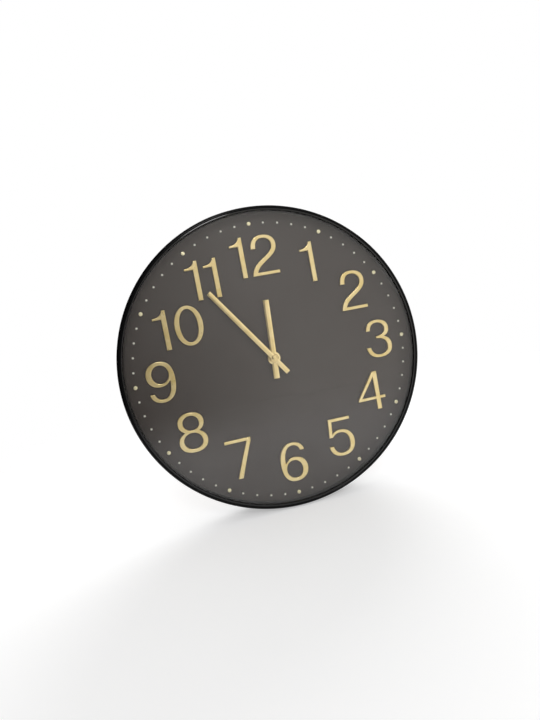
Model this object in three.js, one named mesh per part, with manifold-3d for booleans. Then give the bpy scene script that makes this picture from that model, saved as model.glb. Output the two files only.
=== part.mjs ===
// A round quartz wall clock, 300 mm across, in millimetres.
// +Z is up (12 o'clock), the dial faces -Y, and Y = 0 is the wall plane that the rim's rear edge meets.
// The origin is the nail: the point on the wall from which the hanger's slot hangs.
// Round pieces are turned about the Y axis. "Depth" runs from the dial side to the wall side.

import * as THREE from "three";
import { mergeVertices } from "three/addons/utils/BufferGeometryUtils.js";
import Module from "manifold-3d";

const wasm = await Module();
wasm.setup();

// ---------------------------------------------------------------- driving dimensions
const GAP = 0.3; // between faces that touch on the real clock

const RIM_RADIUS = 150;
const RIM_DEPTH = 38;
const RIM_BORE = 147.6; // radius of the moulded tube that holds the glass and the dial
const LIP_RADIUS = 143.7;
const LIP_THICKNESS = 1.2;
const LUG_COUNT = 6;
const ROUND_STEPS = 72;

const GLASS_RADIUS = 147.2;
const GLASS_THICKNESS = 2;
const SPACER_HEIGHT = 6.6;
const DIAL_THICKNESS = 2.4;
const TRACK_RADIUS = 136; // circle of the hour studs and minute dots
const PRINT_OFFSET = [0.2, -2.1]; // the printed track and the numerals sit this far off the dial's centre
const NUMERAL_HEIGHT = 2;
const STUD_RADIUS = 1.95;

const NAIL_ABOVE_DIAL = 41; // the hanger's slot is this far above the dial's centre
const BUSHING_RADIUS = 4;
const SHELL_SIDE = 56;
const SHELL_WALL = 1.2;

// planes across the clock, from the front lip back to the wall
const RIM_FRONT = -RIM_DEPTH;
const GLASS_FRONT = RIM_FRONT + LIP_THICKNESS + GAP;
const GLASS_BACK = GLASS_FRONT + GLASS_THICKNESS;
const SPACER_FRONT = GLASS_BACK + GAP;
const DIAL_FRONT = SPACER_FRONT + SPACER_HEIGHT + GAP;
const DIAL_BACK = DIAL_FRONT + DIAL_THICKNESS;
const HANGER_FRONT = DIAL_BACK + GAP;
const HANGER_THICKNESS = 1;
const GASKET_FRONT = HANGER_FRONT + HANGER_THICKNESS + GAP;
const GASKET_THICKNESS = 0.8;
const MOVEMENT_FRONT = GASKET_FRONT + GASKET_THICKNESS + GAP;

// layers inside the movement, as depths behind its front face
const COVER_DEPTH = 14.8;
const COVER_THICKNESS = 1.2;
const WALL_END = COVER_DEPTH - GAP;

// gear train: tooth counts give 12 : 1 for the hands and 1800 : 1 from rotor to centre wheel
const TEETH = {
  cannonPinion: 12,
  minuteWheel: 36,
  minutePinion: 10,
  hourWheel: 40,
  knobPinion: 12,
  centreWheel: 64,
  thirdPinion: 8,
  thirdWheel: 60,
  fourthPinion: 8,
  fourthWheel: 40,
  fifthPinion: 8,
  fifthWheel: 48,
  rotorPinion: 8,
};

// axes seen from the dial side, from the dial's centre: each is set off from the one it meshes with
const CENTRE = [0, 0];
const THIRD = polar(CENTRE, 8.5, 150);
const FIFTH = polar(CENTRE, 7.2, 60);
const ROTOR = polar(FIFTH, 7, 20);
const MINUTE = polar(CENTRE, 6, -20);
const KNOB = polar(MINUTE, 6, -10);

// hands, as clockwise angles from 12 o'clock at rest
const HOUR_HAND_ANGLE = 2.4;
const MINUTE_HAND_ANGLE = -34.7;

// ---------------------------------------------------------------- materials
const finish = (color, roughness, metalness = 0, extra = {}) =>
  new THREE.MeshStandardMaterial({ color, roughness, metalness, ...extra });
const GLOSS_BLACK = () => finish(0x0c0c0d, 0.15);
const SATIN_BLACK = () => finish(0x141414, 0.5);
const GOLD = () => finish(0xd9be7c, 0.35, 0.8);
const CLEAR = () => finish(0xeef3f2, 0.02, 0, { transparent: true, opacity: 0.15 });
const BLACK_ABS = () => finish(0x17181a, 0.55);
const BRASS = () => finish(0xc9a648, 0.3, 0.9);
const STEEL = () => finish(0xb9bcc0, 0.35, 0.9);
const RUBBER = () => finish(0x1b1b1b, 0.9);
const ACETAL = () => finish(0xf1efe6, 0.5);
const COPPER = () => finish(0xb5652c, 0.4, 0.8);

// ---------------------------------------------------------------- geometry helpers
function polar([x, z], distance, degrees) {
  const angle = THREE.MathUtils.degToRad(degrees);
  return [x + distance * Math.cos(angle), z + distance * Math.sin(angle)];
}

function solidOf(geometry) {
  const bare = geometry.index ? geometry.toNonIndexed() : geometry.clone();
  bare.deleteAttribute("normal");
  bare.deleteAttribute("uv");
  const merged = mergeVertices(bare, 1e-4);
  const vertProperties = merged.attributes.position.array;
  const triVerts = new Uint32Array(merged.index.array);
  return new wasm.Manifold(new wasm.Mesh({ numProp: 3, vertProperties, triVerts }));
}

function geometryOf(solid) {
  const { vertProperties, triVerts } = solid.getMesh();
  const geometry = new THREE.BufferGeometry();
  geometry.setAttribute("position", new THREE.BufferAttribute(vertProperties, 3));
  geometry.setIndex(new THREE.BufferAttribute(triVerts, 1));
  geometry.computeVertexNormals();
  return geometry;
}

const join = (first, ...rest) => geometryOf(rest.reduce((a, b) => a.add(solidOf(b)), solidOf(first)));
const cut = (first, ...rest) => geometryOf(rest.reduce((a, b) => a.subtract(solidOf(b)), solidOf(first)));

// a profile of [radius, y] points turned about the Y axis through [x, z]
function turned(profile, steps, [x, z] = CENTRE) {
  const closed = [...profile, profile[0]].map(([r, y]) => new THREE.Vector2(r, y));
  return new THREE.LatheGeometry(closed, steps).translate(x, 0, z);
}

function ring(inner, outer, from, to, steps, at) {
  return turned([[inner, from], [outer, from], [outer, to], [inner, to]], steps, at);
}

function rod(radius, from, to, steps, [x, z] = CENTRE) {
  return new THREE.CylinderGeometry(radius, radius, to - from, steps).translate(x, (from + to) / 2, z);
}

// an outline drawn as x to the right and z up, with its thickness from y = front to y = back
function plate(shape, front, back, curveSegments = 6) {
  const options = { depth: back - front, bevelEnabled: false, curveSegments };
  return new THREE.ExtrudeGeometry(shape, options).rotateX(Math.PI / 2).translate(0, back, 0);
}

function polygon(points) {
  return new THREE.Shape(points.map(([x, z]) => new THREE.Vector2(x, z)));
}

function block([x0, x1], [y0, y1], [z0, z1]) {
  const box = new THREE.BoxGeometry(x1 - x0, y1 - y0, z1 - z0);
  return box.translate((x0 + x1) / 2, (y0 + y1) / 2, (z0 + z1) / 2);
}

function roundedRectangle([x0, x1], [z0, z1], radius) {
  const quarter = Math.PI / 2;
  const shape = new THREE.Shape();
  shape.absarc(x1 - radius, z0 + radius, radius, -quarter, 0);
  shape.absarc(x1 - radius, z1 - radius, radius, 0, quarter);
  shape.absarc(x0 + radius, z1 - radius, radius, quarter, 2 * quarter);
  shape.absarc(x0 + radius, z0 + radius, radius, 2 * quarter, 3 * quarter);
  return shape;
}

const depth = (d) => MOVEMENT_FRONT + d;

// ---------------------------------------------------------------- scene graph
const clock = new THREE.Group();
const dialGroup = new THREE.Group();
dialGroup.position.z = -NAIL_ABOVE_DIAL;
clock.add(dialGroup);
const printGroup = new THREE.Group();
printGroup.position.set(PRINT_OFFSET[0], 0, PRINT_OFFSET[1]);
dialGroup.add(printGroup);

function piece(name, geometry, material, parent = dialGroup) {
  const mesh = new THREE.Mesh(geometry, material);
  mesh.name = name;
  parent.add(mesh);
  return mesh;
}

// ---------------------------------------------------------------- case, glass and dial
// The rim's section: a narrow flat lip in front, a broad rounded shoulder, a slightly flared side and a
// flat rear edge.
const LIP_FLAT = [LIP_RADIUS + 0.6, LIP_RADIUS + 2.2];
const SHOULDER_DEPTH = 10;
const FLARE = 0.3; // the side is this much wider at its middle than at the shoulder
const FLARE_DEPTH = 20;
const REAR_CHAMFER = 0.6;

function caseRim() {
  const lipBack = RIM_FRONT + LIP_THICKNESS;
  const lipRound = LIP_RADIUS + 0.1;
  const [flatFrom, flatTo] = LIP_FLAT;
  const shoulder = [RIM_RADIUS - FLARE, RIM_FRONT + SHOULDER_DEPTH];
  const section = new THREE.Path();
  section.moveTo(RIM_BORE, 0);
  section.lineTo(RIM_BORE, lipBack);
  section.lineTo(LIP_RADIUS, lipBack);
  section.lineTo(LIP_RADIUS, RIM_FRONT + 0.4);
  section.quadraticCurveTo(lipRound, RIM_FRONT, flatFrom, RIM_FRONT);
  section.lineTo(flatTo, RIM_FRONT);
  section.bezierCurveTo(RIM_RADIUS - 1.6, RIM_FRONT, RIM_RADIUS - 0.5, RIM_FRONT + 2.2, ...shoulder);
  section.lineTo(RIM_RADIUS, RIM_FRONT + FLARE_DEPTH);
  section.lineTo(RIM_RADIUS, -REAR_CHAMFER);
  section.lineTo(RIM_RADIUS - REAR_CHAMFER, 0);
  const profile = section.getPoints(4).map((p) => [p.x, p.y]);
  let rim = solidOf(turned(profile, ROUND_STEPS));
  for (let i = 0; i < LUG_COUNT; i += 1) {
    const turn = (i + 0.5) * ((2 * Math.PI) / LUG_COUNT);
    rim = rim.add(solidOf(snapLug().rotateY(turn)));
  }
  return geometryOf(rim);
}

// a wedge behind the dial that it snaps past when it is pushed in from the back
function snapLug() {
  const width = 12;
  const front = DIAL_BACK + GAP;
  const tip = RIM_BORE - 1.8;
  const inWall = RIM_BORE + 1;
  const profile = polygon([[inWall, front], [tip, front], [tip, front + 0.8], [inWall, front + 6]]);
  const wedge = new THREE.ExtrudeGeometry(profile, { depth: width, bevelEnabled: false });
  return wedge.translate(0, 0, -width / 2);
}

piece("case_rim", caseRim(), GLOSS_BLACK());
piece("front_glass", rod(GLASS_RADIUS, GLASS_FRONT, GLASS_BACK, ROUND_STEPS), CLEAR());
piece(
  "spacer_ring",
  ring(LIP_RADIUS + GAP, GLASS_RADIUS, SPACER_FRONT, SPACER_FRONT + SPACER_HEIGHT, ROUND_STEPS),
  GLOSS_BLACK(),
);
piece(
  "dial_board",
  ring(BUSHING_RADIUS + 0.4, GLASS_RADIUS, DIAL_FRONT, DIAL_BACK, ROUND_STEPS),
  SATIN_BLACK(),
);

// ---------------------------------------------------------------- numerals
// Each digit is an outline about its own middle, 40 mm high, drawn with lines and Bezier curves. The
// moulded strokes are thinner than the drawn ones by STROKE_TRIM on each side.
const HALF_CAP_HEIGHT = 20;
const CURVE_STEPS = 5;
const STROKE_TRIM = 0.4;

function drawn(commands) {
  const target = new THREE.Shape();
  for (const [kind, ...numbers] of commands) {
    if (kind === "M") target.moveTo(...numbers);
    if (kind === "L") target.lineTo(...numbers);
    if (kind === "C") target.bezierCurveTo(...numbers);
  }
  return target;
}

// a closed oval of four Bezier quarters; fullness 0.55 is an ellipse and more is squarer
function oval(x, z, rx, rz, fullness = 0.57) {
  const [kx, kz] = [rx * fullness, rz * fullness];
  return [
    ["M", x, z + rz],
    ["C", x + kx, z + rz, x + rx, z + kz, x + rx, z],
    ["C", x + rx, z - kz, x + kx, z - rz, x, z - rz],
    ["C", x - kx, z - rz, x - rx, z - kz, x - rx, z],
    ["C", x - rx, z + kz, x - kx, z + rz, x, z + rz],
  ];
}

const SIX_OUTLINE = [
  ["M", 13.2, 10.2],
  ["C", 12.4, 16.4, 7.6, 20.1, 1, 20.1],
  ["C", -8.9, 20.1, -13.8, 12.2, -13.8, -1.2],
  ["C", -13.8, -13.4, -9.4, -20.1, 0.2, -20.1],
  ["C", 8.6, -20.1, 14, -14.9, 14, -7.4],
  ["C", 14, 0, 9, 5, 1.2, 5],
  ["C", -2.8, 5, -6, 3.4, -7.9, 0.6],
  ["C", -7.6, 10.5, -4.6, 16.3, 1, 16.3],
  ["C", 4.8, 16.3, 7.3, 14.1, 8, 10.2],
  ["L", 13.2, 10.2],
];
const SIX_COUNTER = oval(0, -7.3, 7.7, 8.5);

const halfTurned = (commands) => commands.map(([kind, ...numbers]) => [kind, ...numbers.map((v) => -v)]);

const DIGITS = {
  0: [oval(0, 0, 14.15, 19.8), oval(0, 0, 8.2, 15.8)],
  1: [[
    ["M", 1.2, -20],
    ["L", 6.9, -20],
    ["L", 6.9, 20.6],
    ["L", 3, 20.6],
    ["C", 1.9, 15.8, -1.5, 13.9, -7.1, 13.8],
    ["L", -7.1, 11],
    ["L", 1.2, 11],
    ["L", 1.2, -20],
  ]],
  2: [[
    ["M", -12, 6.5],
    ["C", -12, 15.2, -7, 20.1, 1, 20.1],
    ["C", 9.3, 20.1, 14.3, 15.8, 14.3, 9],
    ["C", 14.3, 3.2, 11, -0.2, 5.6, -4],
    ["C", -1.4, -8.8, -5.8, -11.4, -7.6, -16.1],
    ["L", 14.1, -16.1],
    ["L", 14.1, -20],
    ["L", -14.2, -20],
    ["C", -13.9, -12.4, -9.6, -8.2, -1.6, -3],
    ["C", 5.4, 1.5, 8.6, 4.2, 8.6, 8.9],
    ["C", 8.6, 13.4, 5.9, 16.1, 1, 16.1],
    ["C", -3.8, 16.1, -6.2, 13.1, -6.2, 6.5],
    ["L", -12, 6.5],
  ]],
  3: [[
    ["M", -12.2, 8.6],
    ["C", -11.7, 15.6, -7.2, 19.9, 0.4, 19.9],
    ["C", 8.2, 19.8, 13.2, 15.9, 13.2, 9.8],
    ["C", 13.2, 5.9, 11.3, 3, 7.7, 1.6],
    ["C", 12, 0.1, 14.2, -3.4, 14.2, -8.2],
    ["C", 14.2, -15.2, 8.9, -19.6, 0.2, -19.6],
    ["C", -8.3, -19.6, -13.3, -15.2, -13.9, -7.5],
    ["L", -8.7, -7.5],
    ["C", -8, -12.9, -5.2, -15.8, 0.1, -15.8],
    ["C", 5.4, -15.8, 8.4, -13.1, 8.4, -8.2],
    ["C", 8.4, -2.7, 5.2, -0.1, -2.3, 0.1],
    ["L", -2.3, 3.1],
    ["C", 4.5, 3.2, 7.6, 5.3, 7.6, 9.9],
    ["C", 7.6, 13.8, 5, 16.1, 0.4, 16.1],
    ["C", -4, 16.1, -6.4, 13.5, -6.8, 8.6],
    ["L", -12.2, 8.6],
  ]],
  4: [
    [
      ["M", 3.4, 20.1],
      ["L", 9.1, 20.1],
      ["L", 9.1, -5.6],
      ["L", 14.6, -5.6],
      ["L", 14.6, -9.3],
      ["L", 9.1, -9.3],
      ["L", 9.1, -20],
      ["L", 3.6, -20],
      ["L", 3.6, -9.3],
      ["L", -15.1, -9.3],
      ["L", -15.1, -6.1],
      ["L", 3.4, 20.1],
    ],
    [["M", 3.6, 13], ["L", -9.9, -5.6], ["L", 3.6, -5.6], ["L", 3.6, 13]],
  ],
  5: [[
    ["M", -10.9, 20],
    ["L", 12.5, 20],
    ["L", 12.5, 16.1],
    ["L", -6.6, 16.1],
    ["L", -7.6, 5],
    ["C", -5.8, 6.9, -3.2, 7.8, 0.4, 7.8],
    ["C", 8.8, 7.8, 14.4, 2.4, 14.4, -6],
    ["C", 14.4, -14.7, 8.8, -20.1, 0, -20.1],
    ["C", -7.9, -20.1, -13.1, -15.8, -13.7, -8],
    ["L", -8.4, -8],
    ["C", -7.7, -13.1, -4.8, -16.1, 0, -16.1],
    ["C", 5.4, -16.1, 8.6, -12.4, 8.6, -6],
    ["C", 8.6, 0.3, 5.4, 4.1, 0, 4.1],
    ["C", -3.6, 4.1, -6, 2.9, -7.6, 0.3],
    ["L", -12.3, 0.3],
    ["L", -10.9, 20],
  ]],
  6: [SIX_OUTLINE, SIX_COUNTER],
  7: [[
    ["M", -13.4, 20.1],
    ["L", 13.5, 20.1],
    ["L", 13.5, 16.8],
    ["C", 9.8, 7, 4.4, -6.5, -0.4, -20],
    ["L", -6.3, -20],
    ["C", -2.2, -8.2, 3.4, 5.6, 8.2, 16.2],
    ["L", -13.4, 16.2],
    ["L", -13.4, 20.1],
  ]],
  8: [
    [
      ["M", 0.6, 20.1],
      ["C", 8.6, 20.1, 13.7, 16.1, 13.7, 10],
      ["C", 13.7, 5.9, 11.8, 2.8, 8.2, 1],
      ["C", 12.5, -0.8, 14.8, -4.2, 14.8, -8.7],
      ["C", 14.8, -15.6, 9.2, -19.9, 0.4, -19.9],
      ["C", -8.4, -19.9, -13.8, -15.6, -13.8, -8.7],
      ["C", -13.8, -4.2, -11.6, -0.8, -7.1, 1],
      ["C", -10.6, 2.8, -12.3, 5.9, -12.3, 10],
      ["C", -12.3, 16.1, -7.3, 20.1, 0.6, 20.1],
    ],
    oval(0.8, 9.4, 7.4, 6.8),
    oval(0.4, -8.2, 8.7, 7.5),
  ],
  9: [halfTurned(SIX_OUTLINE), halfTurned(SIX_COUNTER)],
};

// each numeral's middle from the track's centre, and its digits with their offset across from it
const SHORT_ONE = 0.965; // the ones of 10 and 11 are this much of the full height
const NUMERALS = [
  { hour: 1, at: [51.4, 89.3], digits: [{ digit: 1, across: 0 }] },
  { hour: 2, at: [91.4, 54.3], digits: [{ digit: 2, across: 0 }] },
  { hour: 3, at: [109.7, 0.5], digits: [{ digit: 3, across: 0 }] },
  { hour: 4, at: [92.7, -51.4], digits: [{ digit: 4, across: 0 }] },
  { hour: 5, at: [52.4, -90.4], digits: [{ digit: 5, across: 0 }] },
  { hour: 6, at: [0.2, -104.5], digits: [{ digit: 6, across: 0 }] },
  { hour: 7, at: [-51.3, -89.3], digits: [{ digit: 7, across: 0 }] },
  { hour: 8, at: [-92.8, -53.3], digits: [{ digit: 8, across: 0 }] },
  { hour: 9, at: [-111.3, 0.7], digits: [{ digit: 9, across: 0 }] },
  {
    hour: 10,
    at: [-85.1, 49],
    digits: [{ digit: 1, across: -16.8, tall: SHORT_ONE }, { digit: 0, across: 9.5 }],
  },
  {
    hour: 11,
    at: [-54.2, 90.3],
    digits: [{ digit: 1, across: -9.2, tall: SHORT_ONE }, { digit: 1, across: 9, tall: SHORT_ONE }],
  },
  { hour: 12, at: [-0.2, 103.8], digits: [{ digit: 1, across: -16.7 }, { digit: 2, across: 8.7 }] },
];

// the shape made smaller all round by amount, or larger where it is negative, with mitred corners
function shrunk(shape, amount) {
  const points = shape.getPoints(CURVE_STEPS).slice(0, -1);
  if (THREE.ShapeUtils.isClockWise(points)) points.reverse();
  const left = (from, to) => new THREE.Vector2(from.y - to.y, to.x - from.x).normalize();
  const moved = points.map((point, i) => {
    const before = left(points.at(i - 1), point);
    const after = left(point, points[(i + 1) % points.length]);
    return before.clone().add(after).multiplyScalar(amount / (1 + before.dot(after))).add(point);
  });
  return new THREE.Shape(moved);
}

function digitGeometry(digit) {
  const [outline, ...counters] = DIGITS[digit].map((commands) => drawn(commands));
  const back = DIAL_FRONT - GAP;
  const front = back - NUMERAL_HEIGHT;
  const drills = counters.map((shape) => plate(shrunk(shape, -STROKE_TRIM), front - 1, back + 1));
  return cut(plate(shrunk(outline, STROKE_TRIM), front, back), ...drills);
}

for (const { hour, at: [x, z], digits } of NUMERALS) {
  digits.forEach(({ digit, across, tall = 1 }, place) => {
    const name = digits.length > 1 ? `numeral_${hour}_${place + 1}` : `numeral_${hour}`;
    const mesh = piece(name, digitGeometry(digit), GOLD(), printGroup);
    mesh.scale.z = tall;
    mesh.position.set(x + across, 0, z - HALF_CAP_HEIGHT * (1 - tall));
  });
}

// ---------------------------------------------------------------- hour studs
const studBack = DIAL_FRONT - GAP;
for (let hour = 1; hour <= 12; hour += 1) {
  const profile = [
    [0, studBack],
    [STUD_RADIUS, studBack],
    [STUD_RADIUS, studBack - 0.5],
    [STUD_RADIUS * 0.6, studBack - 1],
    [0, studBack - 1.2],
  ];
  const at = polar(CENTRE, TRACK_RADIUS, 90 - hour * 30);
  piece(`hour_stud_${hour}`, turned(profile.reverse(), 12, at), GOLD(), printGroup);
}

// ---------------------------------------------------------------- hands
const WASHER = [DIAL_FRONT - GAP - 0.4, DIAL_FRONT - GAP];
const NUT = [WASHER[0] - GAP - 1.5, WASHER[0] - GAP];
const BUSHING_END = NUT[0] - 0.2;
const HOUR_HAND = [BUSHING_END - GAP - 1, BUSHING_END - GAP];
const MINUTE_HAND = [HOUR_HAND[0] - 0.4 - 1, HOUR_HAND[0] - 0.4];
const CAP = [MINUTE_HAND[0] - GAP - 0.9, MINUTE_HAND[0] - GAP];
const PIPE_RADIUS = 2.7;
const ARBOR_RADIUS = 1.6;

function hand({ reach, tail, width, hub, bore, front, back }) {
  const strip = polygon([[-width / 2, -tail], [width / 2, -tail], [width / 2, reach], [-width / 2, reach]]);
  const blade = join(plate(strip, front, back), rod(hub, front, back, 24));
  return cut(blade, rod(bore, front - 1, back + 1, 16));
}

const hourHand = hand({
  reach: 57.9,
  tail: 20.3,
  width: 5.8,
  hub: 6.3,
  bore: PIPE_RADIUS + 0.15,
  front: HOUR_HAND[0],
  back: HOUR_HAND[1],
});
const minuteHand = hand({
  reach: 89.9,
  tail: 19.8,
  width: 4.7,
  hub: 3.7,
  bore: ARBOR_RADIUS + 0.15,
  front: MINUTE_HAND[0],
  back: MINUTE_HAND[1],
});
piece("hour_hand", hourHand, GOLD()).rotation.y = THREE.MathUtils.degToRad(HOUR_HAND_ANGLE);
piece("minute_hand", minuteHand, GOLD()).rotation.y = THREE.MathUtils.degToRad(MINUTE_HAND_ANGLE);
piece(
  "hand_cap",
  turned([[0, CAP[0]], [1.6, CAP[0] + 0.1], [2.4, CAP[0] + 0.5], [2.4, CAP[1]], [0, CAP[1]]], 20),
  GOLD(),
);

// ---------------------------------------------------------------- fixing of the movement through the dial
function hexagon(acrossFlats) {
  const corners = Array.from({ length: 6 }, (_, i) => polar(CENTRE, acrossFlats / Math.sqrt(3), i * 60));
  return polygon(corners);
}

piece(
  "bushing_nut",
  cut(plate(hexagon(10.5), ...NUT), rod(BUSHING_RADIUS + 0.15, NUT[0] - 1, NUT[1] + 1, 24)),
  BRASS(),
);
piece("bushing_washer", ring(BUSHING_RADIUS + 0.2, 6, ...WASHER, 24), BRASS());
piece(
  "rubber_gasket",
  ring(BUSHING_RADIUS + 0.3, 10, GASKET_FRONT, GASKET_FRONT + GASKET_THICKNESS, 32),
  RUBBER(),
);

// steel strip behind the dial, stepped back above the movement, with a round-topped nail slot
function hangerPlate() {
  const width = 26;
  const front = HANGER_FRONT;
  const back = front + HANGER_THICKNESS;
  const stepBack = back + 11;
  const shelf = 30;
  const top = NAIL_ABOVE_DIAL + 5;
  const foot = -14;
  const section = polygon([
    [foot, front],
    [shelf, front],
    [shelf, stepBack - HANGER_THICKNESS],
    [top, stepBack - HANGER_THICKNESS],
    [top, stepBack],
    [shelf - HANGER_THICKNESS, stepBack],
    [shelf - HANGER_THICKNESS, back],
    [foot, back],
  ]);
  const strip = new THREE.ExtrudeGeometry(section, { depth: width, bevelEnabled: false });
  // the section is drawn with the clock's z across it, so the strip is turned to stand upright
  strip.rotateY(-Math.PI / 2).translate(width / 2, 0, 0);
  const slotRadius = 3.5;
  const slotCentre = NAIL_ABOVE_DIAL - slotRadius;
  const slot = new THREE.Shape();
  slot.moveTo(-slotRadius, shelf + 2);
  slot.lineTo(slotRadius, shelf + 2);
  slot.absarc(0, slotCentre, slotRadius, 0, Math.PI);
  const hole = rod(BUSHING_RADIUS + 0.3, front - 1, back + 1, 24);
  return cut(strip, hole, plate(slot, stepBack - 3, stepBack + 1, 8));
}
piece("hanger_plate", hangerPlate(), STEEL());

// ---------------------------------------------------------------- movement housing
const HALF = SHELL_SIDE / 2;
const BAY_TOP = -11.4; // battery bay below, gears above
const PARTITION_TOP = BAY_TOP + SHELL_WALL;
const BATTERY_RADIUS = 7.25;
const BATTERY_AT = [depth(1.5 + BATTERY_RADIUS), -19.1];
const MIDDLE_PLATE = [6.3, 7.1];
const PLATE_POSTS = [[-15.5, -7], [19.5, -7], [-16, 11.5]];
const THUMB_NOTCH = { half: 9, from: 7 };

function frontShell() {
  const outside = plate(roundedRectangle([-HALF, HALF], [-HALF, HALF], 2), depth(0), depth(WALL_END), 3);
  const inside = HALF - SHELL_WALL;
  const hollow = (z0, z1) => block([-inside, inside], [depth(SHELL_WALL), depth(WALL_END + 2)], [z0, z1]);
  const bushing = rod(BUSHING_RADIUS, BUSHING_END, depth(0.6), 24);
  const cup = (at, outer, inner) => ring(inner, outer, depth(SHELL_WALL - 0.2), depth(2.4), 12, at);
  let shell = solidOf(outside);
  shell = shell.subtract(solidOf(hollow(-inside, BAY_TOP)));
  shell = shell.subtract(solidOf(hollow(PARTITION_TOP, inside)));
  shell = shell.add(solidOf(bushing));
  shell = shell.subtract(solidOf(rod(PIPE_RADIUS + 0.3, BUSHING_END - 1, depth(SHELL_WALL + 1), 24)));
  // thumb notch in the bottom wall, for lifting the battery out
  const { half, from } = THUMB_NOTCH;
  const notch = block([-half, half], [depth(from), depth(WALL_END + 2)], [-HALF - 1, -inside + 0.5]);
  shell = shell.subtract(solidOf(notch));
  shell = shell.add(solidOf(cup(THIRD, 1.3, 0.65)));
  shell = shell.add(solidOf(cup(KNOB, 1.8, 1.05)));
  shell = shell.add(solidOf(rod(0.5, depth(SHELL_WALL - 0.2), depth(4.9), 12, MINUTE)));
  for (const at of PLATE_POSTS) {
    shell = shell.add(solidOf(rod(1.4, depth(SHELL_WALL - 0.2), depth(MIDDLE_PLATE[0] - GAP), 10, at)));
  }
  return geometryOf(shell);
}

function backCover() {
  const outline = roundedRectangle([-HALF, HALF], [PARTITION_TOP - SHELL_WALL, HALF], 2);
  const lid = plate(outline, depth(COVER_DEPTH), depth(COVER_DEPTH + COVER_THICKNESS), 3);
  const boss = (at) => rod(1.3, depth(13), depth(COVER_DEPTH + 0.2), 12, at);
  const pivotHole = (at) => rod(0.6, depth(12), depth(COVER_DEPTH - 0.1), 12, at);
  const axes = [THIRD, FIFTH, ROTOR, CENTRE];
  let cover = solidOf(lid);
  for (const at of axes) cover = cover.add(solidOf(boss(at)));
  for (const at of axes) cover = cover.subtract(solidOf(pivotHole(at)));
  return geometryOf(cover.subtract(solidOf(rod(1.6, depth(COVER_DEPTH - 1), depth(20), 16, KNOB))));
}

function middlePlate() {
  const outline = roundedRectangle([-18.5, 22], [-9.2, 13.6], 2);
  const holes = [[CENTRE, 1], [THIRD, 1.5], [FIFTH, 0.45], [ROTOR, 0.45], [KNOB, 2.2]];
  const sheet = plate(outline, depth(MIDDLE_PLATE[0]), depth(MIDDLE_PLATE[1]), 3);
  const drills = holes.map(([at, radius]) => rod(radius, depth(5), depth(8.5), 12, at));
  return cut(sheet, ...drills);
}

piece("movement_front_shell", frontShell(), BLACK_ABS());
piece("movement_back_cover", backCover(), BLACK_ABS());
piece("middle_plate", middlePlate(), ACETAL());

// ---------------------------------------------------------------- battery and contacts
// shapes turned about a line along X, from [radius, x] points
function alongX(profile, steps, [y, z]) {
  const closed = [...profile, profile[0]].map(([r, x]) => new THREE.Vector2(r, x));
  return new THREE.LatheGeometry(closed, steps).rotateZ(-Math.PI / 2).translate(0, y, z);
}

const CAN_END = [-24.6, 24.7];
const batteryProfile = [
  [0, CAN_END[0] - 0.2],
  [5.4, CAN_END[0] - 0.2],
  [5.6, CAN_END[0]],
  [BATTERY_RADIUS - 0.4, CAN_END[0]],
  [BATTERY_RADIUS, CAN_END[0] + 0.4],
  [BATTERY_RADIUS, CAN_END[1] - 0.4],
  [BATTERY_RADIUS - 0.4, CAN_END[1]],
  [2.8, CAN_END[1]],
  [2.6, CAN_END[1] + 1],
  [0, CAN_END[1] + 1],
];
piece("battery_cell", alongX(batteryProfile, 24, BATTERY_AT), finish(0x9a9c9e, 0.35, 0.6));
const CONTACT = { inner: 26, outer: 26.4, across: [depth(3), depth(13)], tall: [-24, -14] };
const contactStrip = (from, to) => block([from, to], CONTACT.across, CONTACT.tall);
const negativeBump = alongX([[0, -26.1], [3, -26.1], [1.6, -25], [0, -25]], 12, BATTERY_AT);
piece("contact_positive", contactStrip(CONTACT.inner, CONTACT.outer), STEEL());
piece("contact_negative", join(contactStrip(-CONTACT.outer, -CONTACT.inner), negativeBump), STEEL());

// ---------------------------------------------------------------- gears
// A gear's outline has four points a tooth. Teeth are narrower than the gaps, so a pair turns with play.
function gearShape(teeth, module, phase) {
  const pitch = (2 * Math.PI) / teeth;
  const small = teeth < 20;
  const tip = (teeth / 2 + (small ? 0.75 : 0.8)) * module;
  const root = (teeth / 2 - 1.15) * module;
  const tipHalf = pitch * 0.09;
  const rootHalf = pitch * (small ? 0.2 : 0.27);
  const points = [];
  for (let i = 0; i < teeth; i += 1) {
    const middle = phase + i * pitch;
    const corners = [[root, -rootHalf], [tip, -tipHalf], [tip, tipHalf], [root, rootHalf]];
    for (const [radius, turn] of corners) {
      points.push([radius * Math.cos(middle + turn), radius * Math.sin(middle + turn)]);
    }
  }
  return polygon(points);
}

function gear(teeth, module, phase, [from, to], [x, z]) {
  return plate(gearShape(teeth, module, phase), depth(from), depth(to)).translate(x, 0, z);
}

// the phase at which a gear of so many teeth is in mesh with its partner
function meshingPhase(partner, at, teeth, ownAt) {
  const towards = Math.atan2(ownAt[1] - at[1], ownAt[0] - at[0]);
  const partnerPitch = (2 * Math.PI) / partner.teeth;
  const passed = (towards - partner.phase) / partnerPitch;
  return towards + Math.PI - (0.5 - passed) * ((2 * Math.PI) / teeth);
}

function moduleOf(distance, teethA, teethB) {
  return (2 * distance) / (teethA + teethB);
}

const span = ([ax, az], [bx, bz]) => Math.hypot(bx - ax, bz - az);

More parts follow.
